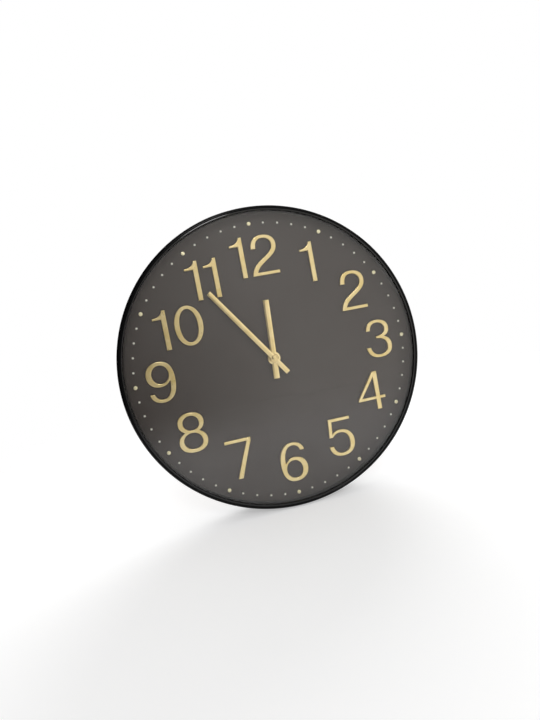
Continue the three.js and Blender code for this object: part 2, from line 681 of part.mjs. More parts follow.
const MOTION_MODULE = moduleOf(span(CENTRE, MINUTE), TEETH.cannonPinion, TEETH.minuteWheel);
const HOUR_MODULE = moduleOf(span(CENTRE, MINUTE), TEETH.hourWheel, TEETH.minutePinion);
const CENTRE_MODULE = moduleOf(span(CENTRE, THIRD), TEETH.centreWheel, TEETH.thirdPinion);
const THIRD_MODULE = moduleOf(span(CENTRE, THIRD), TEETH.thirdWheel, TEETH.fourthPinion);
const FOURTH_MODULE = moduleOf(span(CENTRE, FIFTH), TEETH.fourthWheel, TEETH.fifthPinion);
const FIFTH_MODULE = moduleOf(span(FIFTH, ROTOR), TEETH.fifthWheel, TEETH.rotorPinion);

// motion work: cannon pinion -> minute wheel -> hour wheel and setting knob
const cannon = { teeth: TEETH.cannonPinion, phase: 0 };
const minutePhase = meshingPhase(cannon, CENTRE, TEETH.minuteWheel, MINUTE);
const minute = { teeth: TEETH.minuteWheel, phase: minutePhase };
const minutePinion = { teeth: TEETH.minutePinion, phase: 0 };
const hourPhase = meshingPhase(minutePinion, MINUTE, TEETH.hourWheel, CENTRE);
const knobPhase = meshingPhase(minute, MINUTE, TEETH.knobPinion, KNOB);

const CANNON_LAYER = [2.9, 4.5];
const ARBOR_END = 6.1;
const CENTRE_BORE = 1.3;

function centreArbor() {
  const shaft = rod(ARBOR_RADIUS, MINUTE_HAND[0], depth(CANNON_LAYER[0] + 0.2), 20);
  const stub = rod(CENTRE_BORE - 0.15, depth(CANNON_LAYER[1] - 0.2), depth(ARBOR_END), 16);
  const pinion = gear(cannon.teeth, MOTION_MODULE, cannon.phase, CANNON_LAYER, CENTRE);
  const blindHole = rod(0.55, depth(5), depth(ARBOR_END + 1), 12);
  return geometryOf(solidOf(join(shaft, stub, pinion)).subtract(solidOf(blindHole)));
}

function hourWheel() {
  const disc = gear(TEETH.hourWheel, HOUR_MODULE, hourPhase, [1.6, 2.6], CENTRE);
  const pipe = rod(PIPE_RADIUS, HOUR_HAND[0], depth(1.8), 24);
  return cut(join(disc, pipe), rod(ARBOR_RADIUS + 0.25, HOUR_HAND[0] - 1, depth(4), 20));
}

function minuteWheel() {
  const disc = gear(minute.teeth, MOTION_MODULE, minute.phase, [3.1, 4.1], MINUTE);
  const pinion = gear(minutePinion.teeth, HOUR_MODULE, minutePinion.phase, [1.5, 3.3], MINUTE);
  return cut(join(disc, pinion), rod(0.62, depth(1), depth(5), 12, MINUTE));
}

function settingKnob() {
  const pinion = gear(TEETH.knobPinion, MOTION_MODULE, knobPhase, CANNON_LAYER, KNOB);
  const tip = rod(0.9, depth(1.6), depth(3.1), 12, KNOB);
  const stem = rod(1.2, depth(4.3), depth(16.6), 12, KNOB);
  const grooves = 20;
  const points = Array.from({ length: grooves * 2 }, (_, i) => {
    return polar(KNOB, i % 2 ? 5.1 : 5.6, (i * 180) / grooves);
  });
  const head = plate(polygon(points), depth(16.3), depth(18.5));
  const [x, z] = KNOB;
  const slot = block([x - 3.6, x + 3.6], [depth(18), depth(19)], [z - 0.6, z + 0.6]);
  return cut(join(pinion, tip, stem, head), slot);
}

piece("centre_arbor", centreArbor(), BRASS());
piece("hour_wheel", hourWheel(), ACETAL());
piece("minute_wheel", minuteWheel(), ACETAL());
piece("setting_knob", settingKnob(), BLACK_ABS());

// drive train: rotor -> fifth wheel -> fourth wheel -> third wheel -> centre wheel
const fifth = { teeth: TEETH.fifthWheel, phase: 0 };
const fifthPinion = { teeth: TEETH.fifthPinion, phase: 0 };
const rotorPhase = meshingPhase(fifth, FIFTH, TEETH.rotorPinion, ROTOR);
const fourthPhase = meshingPhase(fifthPinion, FIFTH, TEETH.fourthWheel, CENTRE);
const fourthPinion = { teeth: TEETH.fourthPinion, phase: 0 };
const thirdPhase = meshingPhase(fourthPinion, CENTRE, TEETH.thirdWheel, THIRD);
const thirdPinion = { teeth: TEETH.thirdPinion, phase: 0 };
const centrePhase = meshingPhase(thirdPinion, THIRD, TEETH.centreWheel, CENTRE);

const PIVOT_END = 14.2;
const PIVOT = 0.35;

function centreWheel() {
  const disc = gear(TEETH.centreWheel, CENTRE_MODULE, centrePhase, [4.9, 5.8], CENTRE);
  return cut(disc, rod(CENTRE_BORE, depth(4), depth(7), 16));
}

function thirdWheel() {
  return join(
    gear(TEETH.thirdWheel, THIRD_MODULE, thirdPhase, [7.5, 8.5], THIRD),
    gear(thirdPinion.teeth, CENTRE_MODULE, thirdPinion.phase, [4.7, 6.1], THIRD),
    rod(0.5, depth(1.6), depth(PIVOT_END), 10, THIRD),
  );
}

function fourthWheel() {
  return join(
    gear(TEETH.fourthWheel, FOURTH_MODULE, fourthPhase, [9.1, 10.1], CENTRE),
    gear(fourthPinion.teeth, THIRD_MODULE, fourthPinion.phase, [7.3, 9.2], CENTRE),
    rod(PIVOT + 0.05, depth(5.3), depth(PIVOT_END), 10),
  );
}

function fifthWheel() {
  return join(
    gear(fifth.teeth, FIFTH_MODULE, fifth.phase, [10.9, 11.9], FIFTH),
    gear(fifthPinion.teeth, FOURTH_MODULE, fifthPinion.phase, [8.9, 11], FIFTH),
    rod(PIVOT, depth(6.4), depth(PIVOT_END), 10, FIFTH),
  );
}

function rotor() {
  return join(
    gear(TEETH.rotorPinion, FIFTH_MODULE, rotorPhase, [10.6, 12.2], ROTOR),
    rod(0.7, depth(9), depth(10.8), 10, ROTOR),
    rod(2.6, depth(7.5), depth(9.3), 20, ROTOR),
    rod(PIVOT, depth(6.4), depth(PIVOT_END), 10, ROTOR),
  );
}

piece("centre_wheel", centreWheel(), ACETAL());
piece("third_wheel", thirdWheel(), ACETAL());
piece("fourth_wheel", fourthWheel(), ACETAL());
piece("fifth_wheel", fifthWheel(), ACETAL());
piece("rotor", rotor(), finish(0x3a3a3c, 0.4, 0.7));

// ---------------------------------------------------------------- coil, stator and circuit
const COIL_AT = [depth(9.6), 20.5];
const COIL_SPAN = [5.3, 21.2];

function stator() {
  const outline = polygon([
    [1.5, 25],
    [1.5, 8.1],
    [6, 8.1],
    [6, 4.8],
    [15, 4.8],
    [25, 9.5],
    [25, 25],
    [22, 25],
    [22, 14.8],
    [4.5, 14.8],
    [4.5, 25],
  ]);
  return cut(plate(outline, depth(7.8), depth(8.7)), rod(3.1, depth(7), depth(9.5), 24, ROTOR));
}

function bobbin() {
  const [left, right] = COIL_SPAN;
  const profile = [
    [1.6, left],
    [4, left],
    [4, left + 0.8],
    [2, left + 0.8],
    [2, right - 0.8],
    [4, right - 0.8],
    [4, right],
    [1.6, right],
  ];
  return alongX(profile, 20, COIL_AT);
}

function winding() {
  const [left, right] = [COIL_SPAN[0] + 1, COIL_SPAN[1] - 1];
  return alongX([[2.3, left], [3.6, left], [3.6, right], [2.3, right]], 20, COIL_AT);
}

function circuitBoard() {
  const board = block([-25, -3], [depth(9), depth(9.8)], [14.5, 25]);
  const chip = [[0, depth(9.6)], [2.4, depth(9.6)], [1.4, depth(10.8)], [0, depth(11)]];
  return join(board, turned(chip, 16, [-8.5, 20]));
}

piece("stator_plate", stator(), STEEL());
piece("coil_core", block([1.7, 24.8], [depth(9), depth(10)], [19.4, 21.6]), STEEL());
piece("coil_bobbin", bobbin(), ACETAL());
piece("coil_winding", winding(), COPPER());
piece("circuit_board", circuitBoard(), finish(0x1e5a34, 0.5));
piece(
  "quartz_crystal",
  alongX([[0, -22.5], [1, -22.5], [1, -16.3], [0, -16.3]], 14, [depth(11.2), 22]),
  STEEL(),
);

export default clock;
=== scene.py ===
"""A round quartz wall clock: black rim, black dial behind glass, raised gold numerals, gold baton hands.

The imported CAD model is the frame. Every piece here is placed from its boxes, in metres.
"""
import math

import bmesh
import bpy
from mathutils import Matrix, Vector
from mathutils.geometry import tessellate_polygon


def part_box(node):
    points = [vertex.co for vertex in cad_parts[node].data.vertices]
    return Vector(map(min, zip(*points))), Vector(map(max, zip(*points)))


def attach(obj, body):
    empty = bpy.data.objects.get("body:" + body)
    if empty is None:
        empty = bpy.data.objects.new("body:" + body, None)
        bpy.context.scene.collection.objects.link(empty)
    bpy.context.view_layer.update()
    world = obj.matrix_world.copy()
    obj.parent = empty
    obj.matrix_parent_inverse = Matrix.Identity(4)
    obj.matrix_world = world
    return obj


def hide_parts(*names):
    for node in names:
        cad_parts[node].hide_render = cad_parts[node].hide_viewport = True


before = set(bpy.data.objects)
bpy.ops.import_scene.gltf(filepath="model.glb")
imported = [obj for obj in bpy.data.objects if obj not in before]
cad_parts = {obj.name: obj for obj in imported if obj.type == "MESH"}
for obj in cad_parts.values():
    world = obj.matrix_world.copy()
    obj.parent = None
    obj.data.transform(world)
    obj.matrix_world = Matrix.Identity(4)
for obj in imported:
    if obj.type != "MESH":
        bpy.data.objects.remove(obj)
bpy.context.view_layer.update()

MM = 0.001


def low(node):
    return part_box(node)[0]


def high(node):
    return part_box(node)[1]


def middle(node):
    return (low(node) + high(node)) / 2


def radius(node):
    return (high(node).x - low(node).x) / 2


def disc(node):
    """A round node's front, back and radius."""
    return low(node).y, high(node).y, radius(node)


def off_axis(place):
    """How far a point is from the line through the dial's centre."""
    return math.hypot(place.x - CENTRE.x, place.z - CENTRE.z)


# planes and sizes read from the frame
CENTRE = middle("front_glass")
DIAL_FRONT = low("dial_board").y
DIAL_BACK = high("dial_board").y
RIM_FRONT = low("case_rim").y
WALL = high("case_rim").y
FLOOR = low("case_rim").z
COVER_BACK = high("movement_back_cover").y
WASHER_WIDTH = 1.8 * MM
BUSHING = radius("bushing_washer") - WASHER_WIDTH
# the circle of studs, dots and numerals is a little off the dial's centre
TRACK_CENTRE = (middle("hour_stud_12") + middle("hour_stud_6")) / 2
TRACK_RADIUS = middle("hour_stud_12").z - TRACK_CENTRE.z


# ---------------------------------------------------------------- camera
# where it stands from the track's centre, and how far it turns left, tilts up and rolls, in degrees
CAMERA_OFFSET = Vector((-0.0619, -0.4328, 0.0419))
CAMERA_TURN, CAMERA_TILT, CAMERA_ROLL = -8.17, -3.10, -10.69
LENS_MM = 22
SHIFT = (-0.0013, -0.0251)
NEAREST = 0.01


def camera():
    data = bpy.data.cameras.new("camera")
    data.lens = LENS_MM
    data.shift_x, data.shift_y = SHIFT
    data.clip_start = NEAREST
    view = placed("camera", data)
    turn = Matrix.Rotation(math.radians(CAMERA_TURN), 4, "Z")
    tilt = Matrix.Rotation(math.radians(90 + CAMERA_TILT), 4, "X")
    roll = Matrix.Rotation(math.radians(CAMERA_ROLL), 4, "Z")
    at = Vector((TRACK_CENTRE.x, DIAL_FRONT, TRACK_CENTRE.z)) + CAMERA_OFFSET
    view.matrix_world = Matrix.Translation(at) @ turn @ tilt @ roll
    bpy.context.scene.camera = view


# ---------------------------------------------------------------- materials
# a Mix node's inputs by number, because its inputs for colours and for numbers share their names
MIX_FACTOR, MIX_FIRST, MIX_SECOND = 0, 6, 7
MIX_RESULT = 2


def add_node(tree, kind, inputs=(), **settings):
    """A new node. Its inputs are values, or sockets that are linked to it."""
    node = tree.nodes.new(kind)
    for name, value in settings.items():
        setattr(node, name, value)
    for name, value in dict(inputs).items():
        if isinstance(value, bpy.types.NodeSocket):
            tree.links.new(value, node.inputs[name])
        else:
            node.inputs[name].default_value = value
    return node


def mixed(tree, factor, first, second):
    """The socket of a blend of two colours."""
    inputs = {MIX_FACTOR: factor, MIX_FIRST: first, MIX_SECOND: second}
    return add_node(tree, "ShaderNodeMix", inputs, data_type="RGBA").outputs[MIX_RESULT]


# the Principled sockets that a finish sets once for the whole material
CONSTANTS = {
    "ior": "IOR",
    "metallic": "Metallic",
    "roughness": "Roughness",
    "transmission": "Transmission Weight",
}
# most of a noise's values lie between these
NOISE_LOW, NOISE_HIGH = 0.3, 0.7


class Finish:
    """A Principled material whose details are worked out from the piece's own coordinates."""

    def __init__(self, name, **constants):
        self.material = bpy.data.materials.new(name)
        self.material.use_nodes = True
        self.tree = self.material.node_tree
        self.shader = self.tree.nodes["Principled BSDF"]
        self.output = self.tree.nodes["Material Output"]
        self.place = self.add("ShaderNodeTexCoord").outputs["Object"]
        self.relief = None
        for key, value in constants.items():
            self.shader.inputs[CONSTANTS[key]].default_value = value

    def add(self, kind, inputs=(), **settings):
        return add_node(self.tree, kind, inputs, **settings)

    def stretched(self, stretch):
        scaled = self.add("ShaderNodeMapping", {"Vector": self.place, "Scale": stretch})
        return scaled.outputs["Vector"]

    def noise(self, scale, detail=3.0, stretch=(1, 1, 1)):
        inputs = {"Vector": self.stretched(stretch), "Scale": scale, "Detail": detail}
        return self.add("ShaderNodeTexNoise", inputs).outputs["Fac"]

    def cells(self, scale, stretch=(1, 1, 1)):
        inputs = {"Vector": self.stretched(stretch), "Scale": scale}
        return self.add("ShaderNodeTexVoronoi", inputs).outputs["Distance"]

    def span(self, factor, start=NOISE_LOW, end=NOISE_HIGH, first=0.0, last=1.0):
        """From first to last while factor goes from start to end."""
        inputs = {"Value": factor, "From Min": start, "From Max": end, "To Min": first, "To Max": last}
        return self.add("ShaderNodeMapRange", inputs, clamp=True).outputs["Result"]

    def bands(self, scale, direction):
        inputs = {"Vector": self.place, "Scale": scale}
        return self.add("ShaderNodeTexWave", inputs, bands_direction=direction).outputs["Fac"]

    def math(self, operation, first, second=0.0, third=0.0):
        node = self.add("ShaderNodeMath", {0: first, 1: second, 2: third}, operation=operation)
        return node.outputs["Value"]

    def mix(self, factor, first, second):
        return mixed(self.tree, factor, first, second)

    def colour(self, factor, first, second):
        """The piece's colour, from first to second as factor goes from 0 to 1."""
        self.tree.links.new(self.mix(factor, first, second), self.shader.inputs["Base Color"])

    def roughness(self, factor, smooth, rough, start=NOISE_LOW):
        """From smooth to rough while factor, a noise, goes from start to its usual highest value."""
        spread = self.span(factor, start, NOISE_HIGH, smooth, rough)
        self.tree.links.new(spread, self.shader.inputs["Roughness"])

    def bump(self, height, distance, strength=1.0):
        """Relief of this depth. A second call adds to the first one's relief."""
        node = self.add("ShaderNodeBump", {"Height": height, "Distance": distance, "Strength": strength})
        if self.relief:
            self.tree.links.new(self.relief, node.inputs["Normal"])
        self.relief = node.outputs["Normal"]
        self.tree.links.new(self.relief, self.shader.inputs["Normal"])

    def blend(self, factor, first, second):
        """A blend of two shaders."""
        return self.add("ShaderNodeMixShader", {0: factor, 1: first.outputs[0], 2: second.outputs[0]})

    def surface(self, shader):
        """Puts a shader in the Principled one's place."""
        self.tree.links.new(shader.outputs[0], self.output.inputs["Surface"])


def rgb(red, green, blue):
    """A colour from its sRGB values, 0 to 255."""
    linear = []
    for value in (red, green, blue):
        share = value / 255
        linear.append(share / 12.92 if share < 0.04 else ((share + 0.055) / 1.055) ** 2.4)
    return (*linear, 1)


def rim_black(name, ior, rough):
    """Black moulded plastic: polished on the bead round the glass, a little duller on the rest. A copy
    with a lowered ior gives the shoulder a painted darker reflection.
    """
    finish = Finish(name, ior=ior)
    finish.colour(finish.noise(45), rgb(5, 5, 6), rgb(10, 10, 11))
    finish.roughness(finish.noise(90, 5), rough, rough + 0.09, 0.35)
    finish.bump(finish.noise(420, 2), 0.02 * MM, 0.35)
    return finish.material


def satin_black():
    finish = Finish("satin_black", ior=1.45)
    finish.colour(finish.noise(60), rgb(9, 9, 9), rgb(17, 17, 17))
    finish.roughness(finish.noise(150, 4), 0.3, 0.42)
    finish.bump(finish.noise(2500, 2), 0.02 * MM, 0.4)
    return finish.material


def dial_print():
    """Matt brownish black print: a fine grain, and a faint cloudiness as of screen ink."""
    finish = Finish("dial_print", ior=1.75)
    cloud = finish.noise(14, 2)
    grain = finish.noise(1400, 2)
    ink = finish.mix(cloud, rgb(38, 26, 17), rgb(43, 30, 21))
    finish.colour(finish.span(grain, 0.45, 0.75, 0, 0.15), ink, rgb(47, 35, 26))
    finish.roughness(cloud, 0.74, 0.82)
    finish.bump(grain, 0.004 * MM, 0.1)
    return finish.material


def hardboard():
    """Pressed brown fibreboard: long fibres, dark specks and the mesh that it was pressed on."""
    finish = Finish("hardboard", ior=1.4)
    fibres = finish.noise(900, 5, (1, 1, 0.25))
    patches = finish.noise(38, 3)
    specks = finish.noise(700, 1)
    wood = finish.mix(fibres, rgb(112, 76, 46), rgb(152, 110, 70))
    wood = finish.mix(finish.span(patches, 0.35, 0.7, 0, 0.4), wood, rgb(126, 86, 55))
    finish.colour(finish.span(specks, 0.66, 0.74, 0, 0.6), wood, rgb(58, 36, 22))
    finish.roughness(fibres, 0.62, 0.85)
    mesh = finish.math("MULTIPLY", finish.bands(230, "X"), finish.bands(230, "Z"))
    finish.bump(mesh, 0.12 * MM, 0.7)
    finish.bump(fibres, 0.08 * MM, 0.5)
    return finish.material


def gold(name, light, deep, lines=(1, 1, 1), smooth=0.27, rough=0.4):
    """Satin pale gold on moulded or stamped parts. Its fine grain is drawn out by lines."""
    finish = Finish(name, metallic=1.0)
    brushed = finish.noise(1500, 3, lines)
    cloud = finish.noise(120, 3)
    tone = finish.mix(finish.span(cloud), deep, light)
    finish.colour(finish.span(brushed, 0.35, 0.75, 0, 0.35), tone, deep)
    finish.roughness(brushed, smooth, rough)
    finish.bump(brushed, 0.02 * MM, 0.4)
    return finish.material


def cream_ink():
    finish = Finish("cream_ink", ior=1.45)
    finish.colour(finish.noise(3000, 2), rgb(220, 217, 202), rgb(242, 239, 227))
    finish.roughness(finish.noise(2000), 0.3, 0.45)
    return finish.material


def glass():
    """Clear float glass. Only what the eye sees bends and mirrors in it; other light passes straight."""
    finish = Finish("clear_glass", ior=1.45, roughness=0.0, transmission=1.0)
    finish.colour(finish.noise(30), (0.985, 0.995, 0.988, 1), (0.995, 1, 0.997, 1))
    path = finish.add("ShaderNodeLightPath")
    seen = finish.math("MAXIMUM", path.outputs["Is Camera Ray"], path.outputs["Is Transmission Ray"])
    clear = finish.add("ShaderNodeBsdfTransparent")
    finish.surface(finish.blend(seen, clear, finish.shader))
    return finish.material


def metal(name, light, deep, rough, scale=300, lines=(1, 1, 1)):
    """Plain metal, such as brass or zinc-plated steel, by its two tones and its roughness."""
    finish = Finish(name, metallic=1.0)
    cloud = finish.noise(scale, 4, lines)
    finish.colour(finish.span(cloud), deep, light)
    finish.roughness(cloud, rough, rough + 0.14)
    finish.bump(finish.noise(scale * 5, 2, lines), 0.02 * MM, 0.35)
    return finish.material


def plastic(name, light, deep, rough, grain=2400, depth=0.03 * MM):
    """Moulded plastic with a spark-eroded grain."""
    finish = Finish(name, ior=1.5)
    finish.colour(finish.noise(80, 3), deep, light)
    finish.roughness(finish.noise(400), rough, rough + 0.12)
    finish.bump(finish.noise(grain, 2), depth, 0.6)
    return finish.material


def rubber():
    finish = Finish("rubber", ior=1.45)
    finish.colour(finish.noise(300, 4), rgb(22, 22, 22), rgb(34, 34, 33))
    finish.roughness(finish.noise(500), 0.75, 0.92)
    finish.bump(finish.noise(1800, 3), 0.05 * MM, 0.5)
    return finish.material


# the battery's bare steel: a ring at its flat end, a ring at the other and the nub on that
FLAT_RING = 1.3 * MM
NUB_RING = 1.4 * MM
NUB = 1 * MM
# where the sleeve's dark part ends, and half the width of the line there, as shares of the length
BAND_START = 0.72
HALF_LINE = 0.008


def battery_wrap():
    """A cell's steel ends, dark printed sleeve, and copper-coloured band near the positive end."""
    finish = Finish("battery_wrap", metallic=0.85)
    along = finish.add("ShaderNodeSeparateXYZ", {"Vector": finish.place}).outputs["X"]
    start, end = low("battery_cell").x, high("battery_cell").x
    length = end - start
    share = finish.span(along, start, end)
    past_ring = finish.math("GREATER_THAN", share, FLAT_RING / length)
    before_nub = finish.math("LESS_THAN", share, 1 - (NUB + NUB_RING) / length)
    sleeve = finish.math("MULTIPLY", past_ring, before_nub)
    band = finish.math("GREATER_THAN", share, BAND_START)
    line = finish.math("COMPARE", share, BAND_START, HALF_LINE)
    printed = finish.mix(band, rgb(38, 40, 44), rgb(176, 104, 52))
    printed = finish.mix(line, printed, rgb(205, 200, 188))
    steel = finish.mix(finish.noise(500, 4), rgb(170, 172, 174), rgb(206, 208, 210))
    finish.colour(sleeve, steel, printed)
    finish.roughness(finish.noise(300, 3), 0.22, 0.36)
    finish.bump(finish.noise(900, 2), 0.02 * MM, 0.3)
    return finish.material


def wound_wire():
    finish = Finish("enamelled_copper", metallic=0.9)
    turns = finish.bands(1600, "X")
    finish.colour(turns, rgb(120, 58, 22), rgb(206, 122, 62))
    finish.roughness(finish.noise(500), 0.25, 0.4)
    finish.bump(turns, 0.06 * MM, 0.8)
    return finish.material


def solder_mask():
    finish = Finish("solder_mask", ior=1.5)
    traces = finish.cells(420, (1, 1, 0.5))
    finish.colour(finish.span(traces, 0.28, 0.32), rgb(40, 118, 66), rgb(24, 84, 46))
    finish.roughness(finish.noise(300), 0.3, 0.45)
    finish.bump(traces, 0.03 * MM, 0.5)
    return finish.material


MATERIALS = {
    "bead_black": rim_black("bead_black", 1.46, 0.08),
    # the shoulder's copy has its ior lowered to 1.18 so that it mirrors less: a painted darker reflection
    # that stands in for dark surroundings, not the plastic's own gloss
    "shoulder_painted_dark_reflection": rim_black("shoulder_painted_dark_reflection", 1.18, 0.16),
    "satin_black": satin_black(),
    "dial_print": dial_print(),
    "hardboard": hardboard(),
    "numeral_gold": gold("numeral_gold", rgb(241, 221, 167), rgb(223, 198, 130), (1, 1, 0.12)),
    "stud_gold": gold("stud_gold", rgb(250, 244, 208), rgb(242, 231, 188), smooth=0.42, rough=0.52),
    "hand_gold": gold("hand_gold", rgb(243, 222, 169), rgb(229, 204, 139), (1, 1, 0.06)),
    "ink": cream_ink(),
    "glass": glass(),
    "brass": metal("brass", rgb(214, 178, 96), rgb(180, 142, 66), 0.22),
    "steel": metal("zinc_steel", rgb(196, 199, 204), rgb(160, 164, 170), 0.26, 220, (1, 1, 0.4)),
    "movement_black": plastic("movement_black", rgb(30, 31, 33), rgb(20, 21, 22), 0.42),
    "acetal": plastic("acetal", rgb(240, 238, 228), rgb(228, 224, 210), 0.4, 1500, 0.015 * MM),
    "rotor_grey": metal("rotor_grey", rgb(96, 96, 100), rgb(64, 64, 68), 0.35, 500),
    "rubber": rubber(),
    "battery": battery_wrap(),
    "copper": wound_wire(),
    "board": solder_mask(),
}


# ---------------------------------------------------------------- mesh helpers
SHARP = math.radians(38)
ROUND_STEPS = 288
SMALL_STEPS = 24
ON_AXIS = 1e-7


def evaluated(piece):
    """The piece's shape with its modifiers applied, as a new mesh."""
    depsgraph = bpy.context.evaluated_depsgraph_get()
    return bpy.data.meshes.new_from_object(piece.evaluated_get(depsgraph))


def placed(name, data):
    """A new object in the scene."""
    piece = bpy.data.objects.new(name, data)
    bpy.context.scene.collection.objects.link(piece)
    return piece


def finished(name, bm, materials, body, nodes=()):
    """The built mesh as a piece: normals out, soft shading with sharp edges, on its body of the frame."""
    bmesh.ops.recalc_face_normals(bm, faces=bm.faces)
    mesh = bpy.data.meshes.new(name)
    bm.to_mesh(mesh)
    bm.free()
    mesh.polygons.foreach_set("use_smooth", [True] * len(mesh.polygons))
    kept = [edge.use_edge_sharp for edge in mesh.edges]
    mesh.set_sharp_from_angle(angle=SHARP)
    for edge, sharp in zip(mesh.edges, kept):
        edge.use_edge_sharp = edge.use_edge_sharp or sharp
    for key in materials:
        mesh.materials.append(MATERIALS[key])
    piece = placed(name, mesh)
    # flat faces stay flat to the light, and only the rounded edges between them are shaded round
    shading = piece.modifiers.new("shading", "WEIGHTED_NORMAL")
    shading.weight = 100
    shading.keep_sharp = True
    piece.data = evaluated(piece)
    piece.modifiers.clear()
    bpy.data.meshes.remove(mesh)
    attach(piece, body)
    if nodes:
        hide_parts(*nodes)


def rounded(corners, steps=3):
    """A closed outline from (x, y, round) corners, each cut back by its round and rounded off."""
    outline = []
    for i, (x, y, cut) in enumerate(corners):
        here = Vector((x, y))
        before = Vector(corners[i - 1][:2]) - here
        after = Vector(corners[(i + 1) % len(corners)][:2]) - here
        if cut == 0:
            outline.append(here)
            continue
        start = here + before.normalized() * cut
        end = here + after.normalized() * cut
        for step in range(steps + 1):
            t = step / steps
            outline.append(start * (1 - t) ** 2 + here * 2 * t * (1 - t) + end * t * t)
    return outline


def bezier(start, first, second, end, steps):
    """Points on a cubic curve, its two ends left out."""
    points = []
    for step in range(1, steps):
        t = step / steps
        s = 1 - t
        place = Vector(start) * s**3 + Vector(first) * 3 * s * s * t
        place += Vector(second) * 3 * s * t * t + Vector(end) * t**3
        points.append((place.x, place.y, 0))
    return points


def turn(bm, outline, at, steps=ROUND_STEPS, along="Y"):
    """Turns a closed outline of (radius, distance) points about a line through at, along Y or X."""
    rings = []
    for reach, distance in outline:
        ring = []
        for i in range(steps if reach > ON_AXIS else 1):
            angle = 2 * math.pi * i / steps
            across, up = reach * math.cos(angle), reach * math.sin(angle)
            if along == "Y":
                ring.append(bm.verts.new((at.x + across, distance, at.z + up)))
            else:
                ring.append(bm.verts.new((distance, at.y + across, at.z + up)))
        rings.append(ring)
    for one, other in zip(rings, rings[1:] + rings[:1]):
        if len(one) == 1 and len(other) == 1:
            continue
        for i in range(steps):
            j = (i + 1) % steps
            corners = [one[i % len(one)], one[j % len(one)], other[j % len(other)], other[i % len(other)]]
            bm.faces.new(dict.fromkeys(corners))


def turned(name, corners, at, material, body, nodes=(), steps=ROUND_STEPS, along="Y"):
    """A piece of one material that is turned on a line through at."""
    bm = bmesh.new()
    turn(bm, rounded(corners), at, steps, along)
    finished(name, bm, [material], body, nodes)


def bridge(bm, one, other):
    """Quads between two closed rings of vertices."""
    for i in range(len(one)):
        j = (i + 1) % len(one)
        bm.faces.new((one[i], one[j], other[j], other[i]))


def prism(bm, near, far):
    """A solid between two equal rings of points."""
    ends = [[bm.verts.new(place) for place in ring] for ring in (near, far)]
    bridge(bm, *ends)
    for ring in ends:
        bm.faces.new(ring)


# two sides of an outline that turn by less than this are on one curve, and more makes a corner
CORNER = math.radians(42)
# a side this many times as long as its neighbour is a straight line that runs into a curve
LONG_SIDE = 2.5
FINE_STEPS = 4
STRAIGHT = 0.99999
FLATNESS = 0.001 * MM
SAME_PLACE_DIGITS = 7


def front_loops(node):
    """The closed edges of a CAD node's flat front face, as lists of (x, z) points, metal on their left."""
    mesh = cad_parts[node].data
    front = low(node).y + FLATNESS
    sides = {}
    for polygon in mesh.polygons:
        corners = [mesh.vertices[i].co for i in polygon.vertices]
        if max(c.y for c in corners) > front:
            continue
        keys = [(round(c.x, SAME_PLACE_DIGITS), round(c.z, SAME_PLACE_DIGITS)) for c in corners]
        sides.update(dict.fromkeys(zip(keys, keys[1:] + keys[:1])))
    following = {start: end for start, end in sides if (end, start) not in sides}
    loops = []
    while following:
        start, point = following.popitem()
        loop = [Vector(start)]
        while point != start:
            loop.append(Vector(point))
            point = following.pop(point)
        loops.append(loop)
    return loops


def smoothed(loop):
    """The loop with its curves drawn finer. Corners and long straight sides stay as they are."""
    count = len(loop)
    sides = [loop[(i + 1) % count] - loop[i] for i in range(count)]

    def direction(i):
        """The curve's direction at a point, or None at a corner."""
        before, after = sides[i - 1], sides[i % count]
        if before.angle(after) > CORNER:
            return None
        if before.length > LONG_SIDE * after.length:
            return before.normalized()
        if after.length > LONG_SIDE * before.length:
            return after.normalized()
        return (before.normalized() * after.length + after.normalized() * before.length).normalized()

    fine = []
    for i in range(count):
        along = sides[i].normalized()
        leaving, arriving = direction(i), direction(i + 1)
        if leaving is None:
            leaving = along if arriving is None else 2 * along.dot(arriving) * along - arriving
        if arriving is None:
            arriving = 2 * along.dot(leaving) * along - leaving
        straight = min(leaving.dot(along), arriving.dot(along)) > STRAIGHT
        steps = 1 if straight else FINE_STEPS
        length = sides[i].length
        for step in range(steps):
            t = step / steps
            point = loop[i] * (2 * t**3 - 3 * t**2 + 1) + loop[(i + 1) % count] * (3 * t**2 - 2 * t**3)
            point += leaving * length * (t**3 - 2 * t**2 + t) + arriving * length * (t**3 - t**2)
            fine.append(point)
    return fine


MITRE_LIMIT = 0.35


def inset(loop, distance):
    """The loop moved inwards, to its left, with mitred corners."""
    moved = []
    for i, here in enumerate(loop):
        before = (here - loop[i - 1]).normalized()
        after = (loop[(i + 1) % len(loop)] - here).normalized()
        left, right = Vector((-before.y, before.x)), Vector((-after.y, after.x))
        spread = max(1 + left.dot(right), MITRE_LIMIT)
        moved.append(here + (left + right) * (distance / spread))
    return moved


def build_up(bm, loops, layers):
    """A closed solid from outline loops: each layer is an (inset, y) step, from the back to the front."""
    rings = []
    for amount, y in layers:
        rings.append([[bm.verts.new((p.x, y, p.y)) for p in inset(loop, amount)] for loop in loops])
    for one, other in zip(rings, rings[1:]):
        for first, second in zip(one, other):
            bridge(bm, first, second)
    for ring in (rings[0], rings[-1]):
        flat = [[Vector((v.co.x, v.co.z, 0)) for v in loop] for loop in ring]
        corners = [v for loop in ring for v in loop]
        for a, b, c in tessellate_polygon(flat):
            bm.faces.new((corners[a], corners[b], corners[c]))
        for loop in ring:
            for i in range(len(loop)):
                bm.edges.get((loop[i], loop[(i + 1) % len(loop)])).smooth = False


def rounded_edge(back, front, edge, steps=4):
    """Layers for a piece whose front edge is rounded over and whose back edge is crisp."""
    layers = [(0, back)]
    for step in range(steps + 1):
        angle = math.pi / 2 * step / steps
        layers.append((edge * (1 - math.cos(angle)), front + edge * (1 - math.sin(angle))))
    return layers


